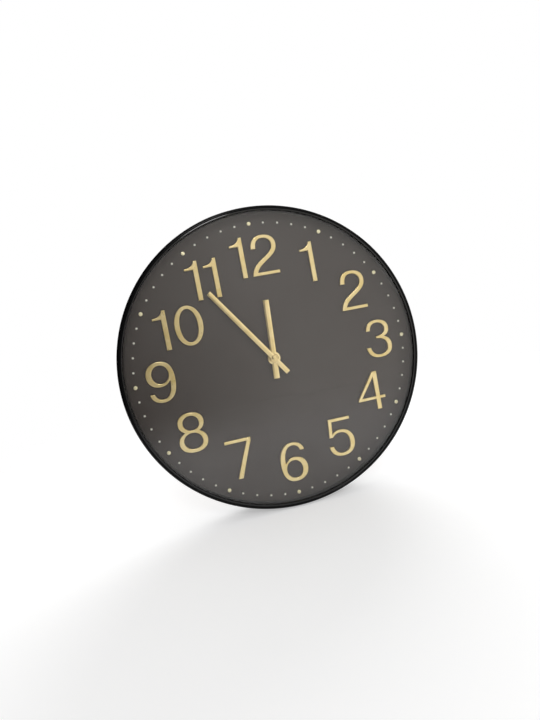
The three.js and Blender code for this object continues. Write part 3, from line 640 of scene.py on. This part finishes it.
def bevelled(back, front, width, drop):
    """Layers for stamped metal: a short upright side, a wide flat bevel and a flat top."""
    soft = 0.08 * MM
    return [
        (soft, back),
        (0, back - soft),
        (0, front + drop + soft),
        (soft / 2, front + drop),
        (width - soft, front + soft / 3),
        (width + soft, front),
    ]


MERGE_DISTANCE = 0.002 * MM
FLAT_ANGLE = math.radians(2)
EDGE_ANGLE = math.radians(30)


def softened(node, edge, material, body, slot):
    """A CAD node's own shape with its edges broken by a small round."""
    bm = bmesh.new()
    bm.from_mesh(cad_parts[node].data)
    bmesh.ops.remove_doubles(bm, verts=bm.verts, dist=MERGE_DISTANCE)
    bmesh.ops.dissolve_limit(bm, angle_limit=FLAT_ANGLE, verts=bm.verts, edges=bm.edges)
    name = node + "_shape"
    mesh = bpy.data.meshes.new(name)
    bm.to_mesh(mesh)
    bm.free()
    piece = placed(name, mesh)
    bevel = piece.modifiers.new("edges", "BEVEL")
    bevel.width = edge
    bevel.segments = 2
    bevel.limit_method = "ANGLE"
    bevel.angle_limit = EDGE_ANGLE
    bevel.harden_normals = False
    mesh_out = evaluated(piece)
    bpy.data.objects.remove(piece)
    bm = bmesh.new()
    bm.from_mesh(mesh_out)
    bpy.data.meshes.remove(mesh_out)
    finished(name, bm, [material], body, [node])


# ---------------------------------------------------------------- case, glass and dial
BEAD_WIDTH = 1.7 * MM
SHOULDER_DEPTH = 10 * MM
LUG_COUNT = 6
LUG_HALF_WIDTH = 6 * MM


def case_rim():
    """The moulded ring: a bead round the glass, a fine groove, a rounded shoulder and a deep side."""
    outer = radius("case_rim")
    lip = min(off_axis(vertex.co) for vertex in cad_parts["case_rim"].data.vertices)
    lip = round(lip / MM, 1) * MM
    bore = radius("front_glass") + 0.4 * MM
    lip_back = low("front_glass").y - 0.3 * MM
    bead = lip + BEAD_WIDTH
    # the shoulder's curve: its start beside the groove, the points that pull it, and its end on the side
    start = (bead + 0.5 * MM, RIM_FRONT + 0.4 * MM)
    pulls = (outer - 1.6 * MM, start[1]), (outer - 0.5 * MM, RIM_FRONT + 2.2 * MM)
    shoulder = (outer - 0.3 * MM, RIM_FRONT + SHOULDER_DEPTH)
    corners = [
        (bore, WALL, 0.2 * MM),
        (bore, lip_back, 0.1 * MM),
        (lip, lip_back, 0.1 * MM),
        (lip, RIM_FRONT + 0.25 * MM, 0.25 * MM),
        (lip + 0.85 * MM, RIM_FRONT - 0.02 * MM, 0.75 * MM),
        (bead, RIM_FRONT + 0.3 * MM, 0.25 * MM),
        (bead + 0.1 * MM, RIM_FRONT + 0.7 * MM, 0.1 * MM),
        (*start, 0.15 * MM),
        *bezier(start, *pulls, shoulder, 16),
        (*shoulder, 0),
        (outer, RIM_FRONT + 20 * MM, 4 * MM),
        (outer, WALL, 0.6 * MM),
        (outer - 0.7 * MM, WALL, 0.1 * MM),
    ]
    bm = bmesh.new()
    turn(bm, rounded(corners), CENTRE)
    lug_front = DIAL_BACK + 0.3 * MM
    for i in range(LUG_COUNT):
        snap_lug(bm, (i + 0.5) * math.tau / LUG_COUNT, bore - 1.8 * MM, bore + 0.8 * MM, lug_front)
    for face in bm.faces:
        if off_axis(face.calc_center_median()) > bead + 0.05 * MM:
            face.material_index = 1
    # faces outside the bead take the copy with the painted darker reflection
    finished("rim", bm, ["bead_black", "shoulder_painted_dark_reflection"], "case", ["case_rim"])


def snap_lug(bm, angle, tip, root, front):
    """A wedge on the tube's inside that the dial snaps past."""
    corners = [
        (root, front, 0),
        (tip, front, 0.25 * MM),
        (tip, front + 0.8 * MM, 0.25 * MM),
        (root, front + 6 * MM, 0),
    ]
    profile = rounded(corners)
    spin = Matrix.Translation((CENTRE.x, 0, CENTRE.z)) @ Matrix.Rotation(angle, 4, "Y")
    ends = []
    for across in (-LUG_HALF_WIDTH, LUG_HALF_WIDTH):
        ends.append([spin @ Vector((reach, y, across)) for reach, y in profile])
    prism(bm, *ends)


def front_glass():
    front, back, reach = disc("front_glass")
    corners = [(0, front, 0), (reach, front, 0.25 * MM), (reach, back, 0.25 * MM), (0, back, 0)]
    turned("glass", corners, CENTRE, "glass", "case", ["front_glass"])


SPACER_WIDTH = 3.2 * MM


def spacer_ring():
    front, back, reach = disc("spacer_ring")
    inner = reach - SPACER_WIDTH
    corners = [
        (inner, front, 0.35 * MM),
        (reach, front, 0.1 * MM),
        (reach, back, 0.1 * MM),
        (inner, back, 0.15 * MM),
    ]
    turned("spacer", corners, CENTRE, "satin_black", "case", ["spacer_ring"])


def dial_board():
    """Hardboard with a hole for the bushing, printed on its front."""
    reach = radius("dial_board")
    hole = BUSHING + 0.2 * MM
    edge = 0.12 * MM
    corners = [
        (hole, DIAL_FRONT, 0),
        (reach, DIAL_FRONT, edge),
        (reach, DIAL_BACK, 0.3 * MM),
        (hole, DIAL_BACK, 0),
    ]
    bm = bmesh.new()
    turn(bm, rounded(corners), CENTRE)
    for face in bm.faces:
        if face.calc_center_median().y > DIAL_FRONT + edge:
            face.material_index = 1
    finished("dial", bm, ["dial_print", "hardboard"], "case", ["dial_board"])


DOT_RADIUS = 1.04 * MM
DOT_HEIGHT = 0.2 * MM


def minute_dots():
    """Raised dots of cream ink at the minutes between the hours, on the same circle as the hour studs."""
    top = DIAL_FRONT - DOT_HEIGHT
    foot = DIAL_FRONT - DOT_HEIGHT * 0.02
    corners = [
        (0, top, 0),
        (DOT_RADIUS * 0.6, top + DOT_HEIGHT * 0.15, 0),
        (DOT_RADIUS * 0.9, top + DOT_HEIGHT * 0.5, 0),
        (DOT_RADIUS, foot, 0),
        (0, foot, 0),
    ]
    bm = bmesh.new()
    for minute in range(60):
        if minute % 5 == 0:
            continue
        angle = math.tau * minute / 60
        at = TRACK_CENTRE + TRACK_RADIUS * Vector((math.sin(angle), 0, math.cos(angle)))
        turn(bm, rounded(corners), at, SMALL_STEPS)
    finished("minute_dots", bm, ["ink"], "case")


# ---------------------------------------------------------------- numerals and studs
NUMERAL_EDGE = 0.6 * MM


def numerals():
    """Each digit in its CAD outline, with its curves drawn finer and its front edge rounded over."""
    for node in sorted(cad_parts):
        if not node.startswith("numeral"):
            continue
        loops = [smoothed(loop) for loop in front_loops(node)]
        bm = bmesh.new()
        build_up(bm, loops, rounded_edge(high(node).y, low(node).y, NUMERAL_EDGE))
        finished(node.replace("numeral", "digit"), bm, ["numeral_gold"], "case", [node])


def hour_studs():
    """Nearly flat studs with a rounded edge."""
    for hour in range(1, 13):
        node = f"hour_stud_{hour}"
        front, back, reach = disc(node)
        corners = [
            (0, front, 0),
            (reach * 0.8, front + 0.04 * MM, 0.3 * MM),
            (reach * 0.98, front + 0.36 * MM, 0.2 * MM),
            (reach, back, 0),
            (0, back, 0),
        ]
        turned(f"stud_{hour}", corners, middle(node), "stud_gold", "case", [node], 48)


# ---------------------------------------------------------------- hands
# each hand's bevel: how wide it is, and how far it falls
HOUR_BEVEL = (1.5 * MM, 0.5 * MM)
MINUTE_BEVEL = (1.4 * MM, 0.5 * MM)


def hand(node, name, body, width, drop):
    """A hand in its CAD outline, bevelled along its edges."""
    loops = [smoothed(loop) for loop in front_loops(node)]
    bm = bmesh.new()
    build_up(bm, loops, bevelled(high(node).y, low(node).y, width, drop))
    finished(name, bm, ["hand_gold"], body, [node])


def hand_cap():
    front, back, reach = disc("hand_cap")
    corners = [
        (0, front, 0),
        (reach * 0.4, front + 0.03 * MM, 0.2 * MM),
        (reach * 0.8, front + 0.2 * MM, 0.2 * MM),
        (reach, front + 0.55 * MM, 0.15 * MM),
        (reach, back, 0.05 * MM),
        (0, back, 0),
    ]
    turned("cap", corners, middle("hand_cap"), "hand_gold", "minute_shaft", ["hand_cap"], 72)


# ---------------------------------------------------------------- fixing and movement
def nut_and_washers():
    loops = [smoothed(loop) for loop in front_loops("bushing_nut")]
    front, back, _ = disc("bushing_nut")
    rear_edge, front_edge = 0.15 * MM, 0.25 * MM
    bm = bmesh.new()
    layers = [(rear_edge, back), (0, back - rear_edge), (0, front + front_edge), (front_edge, front)]
    build_up(bm, loops, layers)
    finished("nut", bm, ["brass"], "case", ["bushing_nut"])
    flat_ring("washer", "bushing_washer", BUSHING, 0.08 * MM, "brass")
    flat_ring("gasket", "rubber_gasket", BUSHING + 0.1 * MM, 0.2 * MM, "rubber")


def flat_ring(name, node, hole, edge, material):
    front, back, reach = disc(node)
    corners = [(hole, front, edge), (reach, front, edge), (reach, back, edge), (hole, back, edge)]
    turned(name, corners, CENTRE, material, "case", [node], 96)


# the movement's back cover: how high its mouldings stand, and how far they reach into it
RELIEF = 0.6 * MM
DOME_RELIEF = 0.35 * MM
DOME_RADIUS = 1.9 * MM
MOULDING_ROOT = 0.2 * MM
MOULDING_EDGE = 0.2 * MM
KNOB_COLLAR = (6.3 * MM, 7.4 * MM)
# the frame round the blank label: its half width and its two heights, from the dial's centre
LABEL_HALF_WIDTH = 24 * MM
LABEL_HEIGHTS = (12.5 * MM, 24.5 * MM)
LABEL_CORNER = 1.6 * MM
LABEL_FRAME_WIDTH = 0.9 * MM
LATCH_HEIGHTS = (0, 18 * MM)
LATCH_HALF_WIDTH = 3 * MM
# out from the side wall and forwards from the cover's back, in mm: a tongue with a hook at its end
LATCH_PROFILE = [(-0.3, -7.5), (0.35, -7.5), (0.9, -6.6), (0.9, -6), (0.35, -5.4), (0.35, -0.6), (-0.3, 0)]


def cover_mouldings():
    """Raised details moulded in one with the back cover: a collar, bearing domes, a frame and latches."""
    bm = bmesh.new()
    boss(bm, "setting_knob", *KNOB_COLLAR, RELIEF)
    for node in ("third_wheel", "fifth_wheel", "rotor", "fourth_wheel"):
        boss(bm, node, 0, DOME_RADIUS, DOME_RELIEF)
    label_frame(bm)
    for side in (-1, 1):
        for height in LATCH_HEIGHTS:
            latch(bm, side, CENTRE.z + height)
    finished("cover_mouldings", bm, ["movement_black"], "case")


def boss(bm, node, hole, reach, relief):
    """A raised disc or ring on the cover, over a turning node."""
    root, top = COVER_BACK - MOULDING_ROOT, COVER_BACK + relief
    corners = [(reach, root, 0), (reach, top, MOULDING_EDGE), (hole, top, MOULDING_EDGE), (hole, root, 0)]
    turn(bm, rounded(corners), middle(node), 64)


def label_frame(bm):
    loops = []
    for shrink in (0, LABEL_FRAME_WIDTH):
        half = LABEL_HALF_WIDTH - shrink
        left, right = CENTRE.x - half, CENTRE.x + half
        foot, top = CENTRE.z + LABEL_HEIGHTS[0] + shrink, CENTRE.z + LABEL_HEIGHTS[1] - shrink
        cut = LABEL_CORNER - shrink
        loop = rounded([(left, foot, cut), (right, foot, cut), (right, top, cut), (left, top, cut)])
        loops.append(loop[::-1] if shrink else loop)
    top = COVER_BACK + RELIEF
    build_up(bm, loops, [(0, COVER_BACK - MOULDING_ROOT), (0, top - MOULDING_EDGE), (MOULDING_EDGE, top)])


def latch(bm, side, height):
    """A tongue of the cover that snaps over a step in the housing's side wall."""
    wall = CENTRE.x + side * radius("movement_back_cover")
    ends = []
    for z in (height - LATCH_HALF_WIDTH, height + LATCH_HALF_WIDTH):
        ends.append([(wall + side * out * MM, COVER_BACK + back * MM, z) for out, back in LATCH_PROFILE])
    prism(bm, *ends)


def battery():
    """A cell turned along X: raised flat end, steel ring, sleeve, the other steel ring and the nub."""
    node = "battery_cell"
    start, end, reach = low(node).x, high(node).x, (high(node).z - low(node).z) / 2
    steel = reach - 0.15 * MM
    step = 0.05 * MM
    shoulder = end - NUB
    corners = [
        (0, start, 0),
        (5.2 * MM, start, 0.1 * MM),
        (5.6 * MM, start + 0.25 * MM, 0.1 * MM),
        (steel, start + 0.25 * MM, 0.25 * MM),
        (steel, start + FLAT_RING, step),
        (reach, start + FLAT_RING + step, 0.1 * MM),
        (reach, shoulder - NUB_RING - step, 0.1 * MM),
        (steel, shoulder - NUB_RING, step),
        (steel, shoulder - 0.2 * MM, 0.4 * MM),
        (4.2 * MM, shoulder - 0.1 * MM, 0.2 * MM),
        (2.8 * MM, shoulder - 0.3 * MM, 0.2 * MM),
        (2.7 * MM, end, 0.35 * MM),
        (0, end, 0),
    ]
    turned("battery", corners, middle(node), "battery", "battery", [node], 96, "X")


SPRING_WIRE_RADIUS = 0.2 * MM
SPRING_TURNS = 3
STEPS_A_TURN = 28
# the coil's radius at the contact, and how much smaller it is at the battery
SPRING_RADIUS = 3.4 * MM
SPRING_TAPER = 1.7 * MM


def negative_spring():
    """A conical coil of spring wire between the negative contact and the battery's end."""
    node = "contact_negative"
    start = low(node).x + 0.45 * MM
    length = high(node).x - low(node).x - 0.7 * MM
    centre = middle("battery_cell")
    curve = bpy.data.curves.new("spring", "CURVE")
    curve.dimensions = "3D"
    curve.bevel_depth = SPRING_WIRE_RADIUS
    curve.bevel_resolution = 3
    steps = SPRING_TURNS * STEPS_A_TURN
    spline = curve.splines.new("POLY")
    spline.points.add(steps)
    for i in range(steps + 1):
        share = i / steps
        angle = math.tau * SPRING_TURNS * share
        reach = SPRING_RADIUS - SPRING_TAPER * share
        across, up = reach * math.cos(angle), reach * math.sin(angle)
        spline.points[i].co = (start + length * share, centre.y + across, centre.z + up, 1)
    holder = placed("spring_line", curve)
    mesh = evaluated(holder)
    bpy.data.objects.remove(holder)
    bm = bmesh.new()
    bm.from_mesh(mesh)
    bpy.data.meshes.remove(mesh)
    finished("negative_spring", bm, ["steel"], "case")


# pieces that keep their CAD shape, with how far their edges are broken, and their finish, body and slot
SOFTENED = [
    ("hanger_plate", 0.2 * MM, "steel", "case", "steel"),
    ("movement_front_shell", 0.25 * MM, "movement_black", "case", "movement_black"),
    ("movement_back_cover", 0.3 * MM, "movement_black", "case", "movement_black"),
    ("setting_knob", 0.12 * MM, "movement_black", "knob", "movement_black"),
    ("contact_positive", 0.08 * MM, "steel", "case", "steel"),
]

# CAD pieces inside the movement, and their finishes
CAD_FINISHES = {
    "contact_negative": "steel",
    "middle_plate": "acetal",
    "centre_arbor": "brass",
    "hour_wheel": "acetal",
    "minute_wheel": "acetal",
    "centre_wheel": "acetal",
    "third_wheel": "acetal",
    "fourth_wheel": "acetal",
    "fifth_wheel": "acetal",
    "rotor": "rotor_grey",
    "stator_plate": "steel",
    "coil_core": "steel",
    "coil_bobbin": "acetal",
    "coil_winding": "copper",
    "circuit_board": "board",
    "quartz_crystal": "steel",
}


def cad_finishes():
    """The CAD pieces inside the movement keep their shape and take the detailed finishes."""
    for node, key in CAD_FINISHES.items():
        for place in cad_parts[node].material_slots:
            place.material = MATERIALS[key]


# ---------------------------------------------------------------- floor, light and background
FLOOR_REACH = 3.0
FLOOR_GLOW = 0.4
# the floor melts into the white background between these distances from the clock
FLOOR_FADE = (0.25, 0.85)


def floor():
    """A pale floor that keeps the shadow near the clock and fades out further away."""
    finish = Finish("pale_floor")
    finish.colour(finish.noise(3, 2), (0.78, 0.78, 0.78, 1), (0.8, 0.8, 0.8, 1))
    finish.roughness(finish.noise(20), 0.7, 0.8)
    glow = finish.add("ShaderNodeEmission", {"Strength": seen_glow(finish, FLOOR_GLOW)})
    both = finish.add("ShaderNodeAddShader", {0: finish.shader.outputs[0], 1: glow.outputs[0]})
    foot = {0: finish.place, 1: (CENTRE.x, 0, FLOOR)}
    away = finish.add("ShaderNodeVectorMath", foot, operation="DISTANCE").outputs["Value"]
    fade = {"Value": away, "From Min": FLOOR_FADE[0], "From Max": FLOOR_FADE[1]}
    gone = finish.add("ShaderNodeMapRange", fade, interpolation_type="SMOOTHSTEP")
    clear = finish.add("ShaderNodeBsdfTransparent")
    finish.surface(finish.blend(gone.outputs[0], both, clear))
    mesh = bpy.data.meshes.new("floor")
    bm = bmesh.new()
    bmesh.ops.create_grid(bm, x_segments=4, y_segments=4, size=FLOOR_REACH)
    bmesh.ops.translate(bm, verts=bm.verts, vec=(CENTRE.x, 0, FLOOR))
    bm.to_mesh(mesh)
    bm.free()
    mesh.materials.append(finish.material)
    placed("floor", mesh)


def seen_glow(finish, strength):
    """strength for what the camera, a mirror or glass sees, and 0 for other light."""
    path = finish.add("ShaderNodeLightPath")
    seen = finish.math("MAXIMUM", path.outputs["Is Camera Ray"], path.outputs["Is Glossy Ray"])
    seen = finish.math("MAXIMUM", seen, path.outputs["Is Transmission Ray"])
    return finish.math("MULTIPLY", seen, strength)


WORLD_LIGHT = 0.5
# gloss mirrors a faintly warm studio: bright in front, dimmer behind, and dark to the left of the key lamp
GLOSS_TINT = (1, 0.97, 0.93, 1)
BRIGHT_SIDE = Vector((0.95, 0, 0.3))
SIDE_FALL = {"From Min": -0.2, "From Max": 0.12, "To Min": 0.1, "To Max": 0.93}
DEPTH_FALL = {"From Min": -0.97, "From Max": 0.1, "To Min": 1.0, "To Max": 0.4}
WHITE = (1, 1, 1, 1)


def background():
    """White to the eye and through glass, the studio in gloss, and a soft even light for the rest."""
    world = bpy.data.worlds.new("studio")
    world.use_nodes = True
    tree = world.node_tree

    def add(kind, inputs=(), **settings):
        return add_node(tree, kind, inputs, **settings).outputs

    path = add("ShaderNodeLightPath")
    direction = add("ShaderNodeTexCoord")["Generated"]
    across = add("ShaderNodeVectorMath", {0: direction, 1: BRIGHT_SIDE}, operation="DOT_PRODUCT")["Value"]
    depth = add("ShaderNodeSeparateXYZ", {"Vector": direction})["Y"]
    side = add("ShaderNodeMapRange", {"Value": across, **SIDE_FALL})[0]
    front = add("ShaderNodeMapRange", {"Value": depth, **DEPTH_FALL})[0]
    gloss = add("ShaderNodeMath", {0: side, 1: front}, operation="MULTIPLY")[0]
    lit = add("ShaderNodeMix", {"Factor": path["Is Glossy Ray"], "A": WORLD_LIGHT, "B": gloss})[0]
    both = {0: path["Is Camera Ray"], 1: path["Is Transmission Ray"]}
    seen = add("ShaderNodeMath", both, operation="MAXIMUM")[0]
    strength = add("ShaderNodeMix", {"Factor": seen, "A": lit, "B": 1.0})[0]
    sky = tree.nodes["Background"].inputs
    tree.links.new(strength, sky["Strength"])
    tree.links.new(mixed(tree, path["Is Glossy Ray"], WHITE, GLOSS_TINT), sky["Color"])
    bpy.context.scene.world = world


def lamp(name, offset, size, power):
    """A round soft lamp that points at the dial's centre."""
    data = bpy.data.lights.new(name, "AREA")
    data.shape = "DISK"
    data.size = size
    data.energy = power
    place = CENTRE + Vector(offset)
    light = placed(name, data)
    light.location = place
    light.rotation_euler = (CENTRE - place).to_track_quat("-Z", "Y").to_euler()


# each lamp's place from the dial's centre and its size, in metres, and its power in watts
LAMPS = {
    "key": ((-0.15, -1.75, 1.25), 0.5, 8),
    "fill": ((1.6, -1.2, 0.5), 2.2, 4),
    "back": ((0.7, 1.6, 1.2), 1.6, 22),
}


# ---------------------------------------------------------------- the whole
camera()
case_rim()
front_glass()
spacer_ring()
dial_board()
minute_dots()
numerals()
hour_studs()
hand("hour_hand", "hour_baton", "hour_shaft", *HOUR_BEVEL)
hand("minute_hand", "minute_baton", "minute_shaft", *MINUTE_BEVEL)
hand_cap()
nut_and_washers()
battery()
negative_spring()
for part in SOFTENED:
    softened(*part)
cover_mouldings()
cad_finishes()
floor()
background()
for name, settings in LAMPS.items():
    lamp(name, *settings)

bpy.context.scene.view_settings.view_transform = "Standard"
